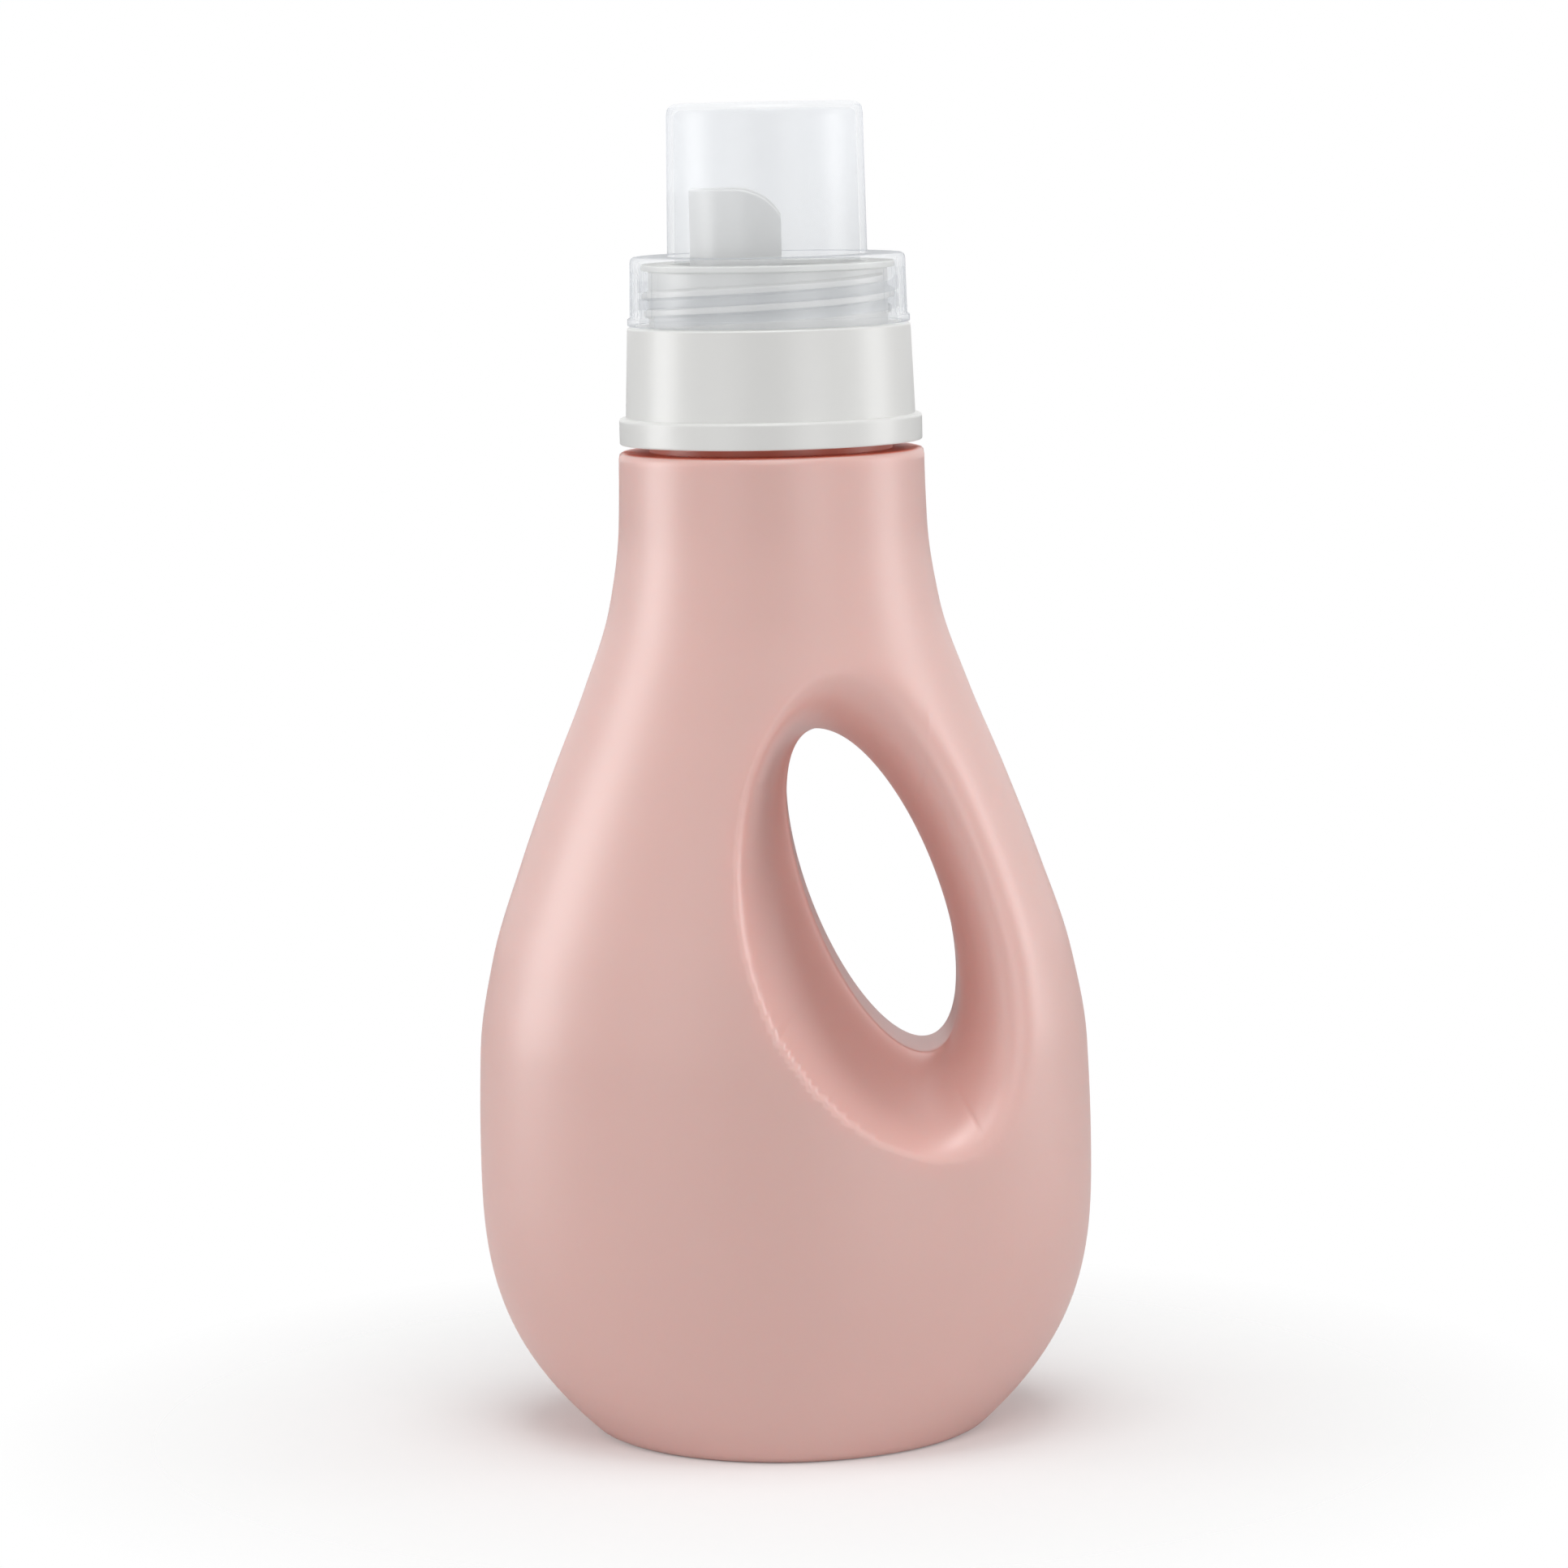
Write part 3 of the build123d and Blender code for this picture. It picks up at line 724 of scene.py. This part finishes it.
def make_bottle():
    """The whole bottle: both skins of the front half, then its mirror image."""
    mesh = bmesh.new()
    inner_low, inner_high = BASE_WALL, SHOULDER_HEIGHT - BODY_WALL
    inner_rows = skin_rows(BODY_WALL, inner_low, inner_high, CAVITY_FOOT_ROUND,
                           CAVITY_SHOULDER_ROUND, BORE_RADIUS, spacing=4.0)
    skin_sheet(mesh, outer_rows, 0.0, OUTER_STEPS)
    skin_sheet(mesh, inner_rows, BODY_WALL, INNER_STEPS)
    half_turned(mesh, rounded([
        (NECK_RADIUS, SHOULDER_HEIGHT, 0), (NECK_RADIUS, MOUTH_HEIGHT, LIP_ROUND),
        (BORE_RADIUS, MOUTH_HEIGHT, LIP_ROUND), (BORE_RADIUS, inner_high, 0)], closed=False))
    half_turned(mesh, push_up(0.0))
    half_turned(mesh, push_up(BASE_WALL))
    bmesh.ops.remove_doubles(mesh, verts=mesh.verts, dist=MERGE)
    bmesh.ops.mirror(mesh, geom=mesh.verts[:] + mesh.edges[:] + mesh.faces[:],
                     axis="Y", merge_dist=MERGE)
    ridge(mesh, NECK_RADIUS, 1, NECK_THREAD, NECK_THREAD_TURNS,
          SHOULDER_HEIGHT + NECK_THREAD_START, 0)
    finished(mesh, "bottle", PINK, "bottle", flat_faces=False, sharp=75)


make_bottle()

# %% [markdown]
# ## The pouring collar
# The collar is one moulding: a skirt that screws onto the neck, a threaded ring for the cap, a
# sloping floor that drains back into the bottle, and the spout. The skirt and the ring are turned.
# The spout is a wall bent round half a circle, so it is a sheet whose section follows that path.

# %% Pouring collar
COLLAR_FOOT, DECK, COLLAR_TOP = 166.8, 184.7, 186.3
COLLAR_BORE, RING_RADIUS, RING_BORE, RING_TOP = 22.1, 20.0, 18.5, 195.7
BEAD_RADIUS, BEAD_TOP, SKIRT_BASE_RADIUS, SKIRT_TOP_RADIUS = 25.35, 171.2, 24.24, 23.7
PLUG_RADIUS, PLUG_BORE, PLUG_FOOT = 18.8, 17.5, 180.2
CAP_THREAD_TURNS, RING_THREAD_START = 0.949, 188.5
COLLAR_THREAD_TURNS, COLLAR_THREAD_START, COLLAR_THREAD_ANGLE = 1.25, 169.5, -20.1
SPOUT_X, SPOUT_RADIUS, SPOUT_WALL, SPOUT_LEG = -1.9, 11.0, 1.2, 4.3
SPOUT_TOP, SPOUT_LIP, SPOUT_TOP_ROUND = 209.1, 7.6, 8.7
SPOUT_EDGE_ROUND, SPOUT_SUNK = 0.45, 0.6
DRAIN_SLOPE, DRAIN_RISE = math.tan(math.radians(6.0)), 3.4
DRAIN_FLOOR, DRAIN_HOLE_X, DRAIN_HOLE_RADIUS = 1.3, 13.6, 2.5


def drain_height(x):
    """Top of the sloping floor, high behind the spout."""
    return COLLAR_TOP + DRAIN_RISE - (RING_BORE + x) * DRAIN_SLOPE


def drain_floor(mesh):
    """Sloping floor between the ring and the spout, with the hole that it drains through."""
    edges, verts = [], []
    circles = ((0, RING_BORE + 0.1, 128), (SPOUT_X, SPOUT_RADIUS - SPOUT_WALL, 96),
               (DRAIN_HOLE_X, DRAIN_HOLE_RADIUS, 32))
    for middle, radius, steps in circles:
        made = bmesh.ops.create_circle(mesh, segments=steps, radius=radius * MM,
                                       matrix=Matrix.Translation((middle * MM, 0, 0)))
        verts += made["verts"]
        edges += {edge for vertex in made["verts"] for edge in vertex.link_edges}
    top = bmesh.ops.triangle_fill(mesh, use_beauty=True, edges=edges, normal=(0, 0, 1))
    for vertex in verts:
        vertex.co.z = drain_height(vertex.co.x / MM) * MM
    faces = [item for item in top["geom"] if isinstance(item, bmesh.types.BMFace)]
    lower = bmesh.ops.extrude_face_region(mesh, geom=faces)["geom"]
    bmesh.ops.translate(mesh, vec=(0, 0, -DRAIN_FLOOR * MM),
                        verts=[item for item in lower if isinstance(item, bmesh.types.BMVert)])


def spout(mesh):
    """Upright trough, open towards the handle, with a rounded top on its open side."""
    section = rounded([(0, -1, 0), (0, 0, SPOUT_EDGE_ROUND),
                       (-SPOUT_WALL, 0, SPOUT_EDGE_ROUND), (-SPOUT_WALL, -1, 0)])
    leg_steps, arc_steps = 12, 72
    steps = 2 * leg_steps + arc_steps

    def place(u, v):
        step = round(u * steps)
        point = section[round(v * len(section)) % len(section)]
        radius = SPOUT_RADIUS + point.x
        if step < leg_steps:
            x, y = SPOUT_LEG * (1 - step / leg_steps), -radius
        elif step > leg_steps + arc_steps:
            x, y = SPOUT_LEG * (step - leg_steps - arc_steps) / leg_steps, radius
        else:
            angle = -math.pi / 2 - math.pi * (step - leg_steps) / arc_steps
            x, y = radius * math.cos(angle), radius * math.sin(angle)
        x += SPOUT_X
        past = max(x - (SPOUT_X - SPOUT_RADIUS + SPOUT_LIP), 0)
        top = SPOUT_TOP - SPOUT_TOP_ROUND + math.sqrt(SPOUT_TOP_ROUND ** 2 - past ** 2)
        return x, y, drain_height(x) - SPOUT_SUNK if point.y <= -1 else top + point.y

    sheet(mesh, steps, len(section), place)


def make_collar():
    """The whole collar."""
    mesh = bmesh.new()
    turn(mesh, rounded([
        (COLLAR_BORE, COLLAR_FOOT, 0.25), (BEAD_RADIUS, COLLAR_FOOT, 0.35),
        (BEAD_RADIUS, BEAD_TOP, 1.0), (SKIRT_BASE_RADIUS, BEAD_TOP, 0.12),
        (SKIRT_TOP_RADIUS, COLLAR_TOP, 0.4), (RING_RADIUS, COLLAR_TOP, 0.15),
        (RING_RADIUS, RING_TOP, 0.4), (RING_BORE, RING_TOP, 0.4), (RING_BORE, COLLAR_TOP, 0.15),
        (PLUG_BORE, COLLAR_TOP, 0.3), (PLUG_BORE, PLUG_FOOT, 0.3), (PLUG_RADIUS, PLUG_FOOT, 0.3),
        (PLUG_RADIUS, DECK, 0.1), (COLLAR_BORE, DECK, 0.2)]))
    drain_floor(mesh)
    spout(mesh)
    for start in (0, 180):
        ridge(mesh, RING_RADIUS, 1, CAP_THREAD, CAP_THREAD_TURNS, RING_THREAD_START, start)
    ridge(mesh, COLLAR_BORE, -1, NECK_THREAD, COLLAR_THREAD_TURNS, COLLAR_THREAD_START,
          COLLAR_THREAD_ANGLE)
    finished(mesh, "collar", WHITE, "spout_collar")


make_collar()

# %% [markdown]
# ## The measuring cap
# The cap is turned too: a cup above and a wider skirt below, with a two-start thread inside. Its
# two grip pads are rows of fine upright grooves. The spin has a step every half degree, so the
# grooves can be pressed into the skirt's own surface.

# %% Measuring cap
GRIP_COUNT, GRIP_SPACING, GRIP_HALF_WIDTH, GRIP_DEPTH = 17, 4.7, 0.95, 0.35
GRIP_LOW, GRIP_HIGH, GRIP_END = CAP_FOOT + 1.6, CAP_STEP - 2.25, 0.4
CUP_TOP_RADIUS, CUP_FOOT_RADIUS, CUP_WALL = 16.35, 16.7, 1.2
FOOT_BEAD, FOOT_BEAD_HEIGHT = 0.4, 1.2
INNER_THREAD_START, INNER_THREAD_ANGLE = 187.6, 29.5


def press_grooves(mesh):
    """Moves the skirt's points inwards where a groove passes."""
    for vertex in mesh.verts:
        x, y, z = (value / MM for value in vertex.co)
        radius = math.hypot(x, y)
        if radius < SKIRT_RADIUS - 0.3 or not GRIP_LOW < z < GRIP_HIGH:
            continue
        angle = math.degrees(math.atan2(y, abs(x)))
        index = round(angle / GRIP_SPACING)
        middle = (GRIP_COUNT - 1) / 2
        off = abs(angle - index * GRIP_SPACING)
        if abs(index) > middle or off > GRIP_HALF_WIDTH:
            continue
        ends = min(1, (z - GRIP_LOW) / GRIP_END, (GRIP_HIGH - z) / GRIP_END)
        depth = GRIP_DEPTH * (1 - 0.75 * (index / middle) ** 4) * ends
        press = 1 - depth * math.cos(math.pi / 2 * off / GRIP_HALF_WIDTH) / radius
        vertex.co.x *= press
        vertex.co.y *= press


def make_cap():
    """The whole cap."""
    mesh = bmesh.new()
    foot_rows = [(SKIRT_RADIUS - 0.02 * rise, GRIP_LOW + rise, 0) for rise in (0.05, 0.2, 0.5, 3)]
    head_rows = [(SKIRT_RADIUS - 0.17, GRIP_HIGH - drop, 0) for drop in (0.5, 0.2, 0.05)]
    turn(mesh, rounded([
        (0, CAP_TOP, 0), (8, CAP_TOP, 0), (CUP_TOP_RADIUS, CAP_TOP, 2.0),
        (CUP_FOOT_RADIUS, CAP_STEP, 0.35),
        (SKIRT_RADIUS - 0.2, CAP_STEP, 1.0), *reversed(foot_rows + head_rows),
        (SKIRT_RADIUS, CAP_FOOT + FOOT_BEAD_HEIGHT, 0.05),
        (SKIRT_RADIUS + FOOT_BEAD, CAP_FOOT + FOOT_BEAD_HEIGHT, 0.15),
        (SKIRT_RADIUS + FOOT_BEAD, CAP_FOOT, 0.2), (CAP_BORE, CAP_FOOT, 0.2),
        (CAP_BORE, CAP_CEILING, 0.3), (CUP_FOOT_RADIUS - CUP_WALL, CAP_CEILING, 0.4),
        (CUP_TOP_RADIUS - CUP_WALL, CAP_TOP - CUP_WALL, 1.4),
        (8, CAP_TOP - CUP_WALL, 0), (0, CAP_TOP - CUP_WALL, 0)], closed=False), steps=720)
    bmesh.ops.remove_doubles(mesh, verts=mesh.verts, dist=MERGE)
    press_grooves(mesh)
    for start in (0, 180):
        ridge(mesh, CAP_BORE, -1, CAP_THREAD, CAP_THREAD_TURNS, INNER_THREAD_START,
              INNER_THREAD_ANGLE + start)
    finished(mesh, "cap", FROST, "measuring_cap")


make_cap()

# %% [markdown]
# ## The seals
# Both seals are plain soft rings, one under the collar's deck and one in the cap's shoulder.

# %% Seals
GASKET_BORE, GASKET_RADIUS = 18.9, 21.7
LINER_BORE, LINER_RADIUS = 16.5, 21.2
SEAL_ROUND = 0.25


def make_ring(inner, outer, low, high, body, node_name):
    """A soft flat ring with eased corners."""
    mesh = bmesh.new()
    turn(mesh, rounded([(inner, low, SEAL_ROUND), (outer, low, SEAL_ROUND),
                        (outer, high, SEAL_ROUND), (inner, high, SEAL_ROUND)]))
    finished(mesh, body, FOAM, node_name)


make_ring(GASKET_BORE, GASKET_RADIUS, MOUTH_HEIGHT, DECK, "gasket", "neck_gasket")
make_ring(LINER_BORE, LINER_RADIUS, RING_TOP, CAP_CEILING, "liner", "cap_liner")
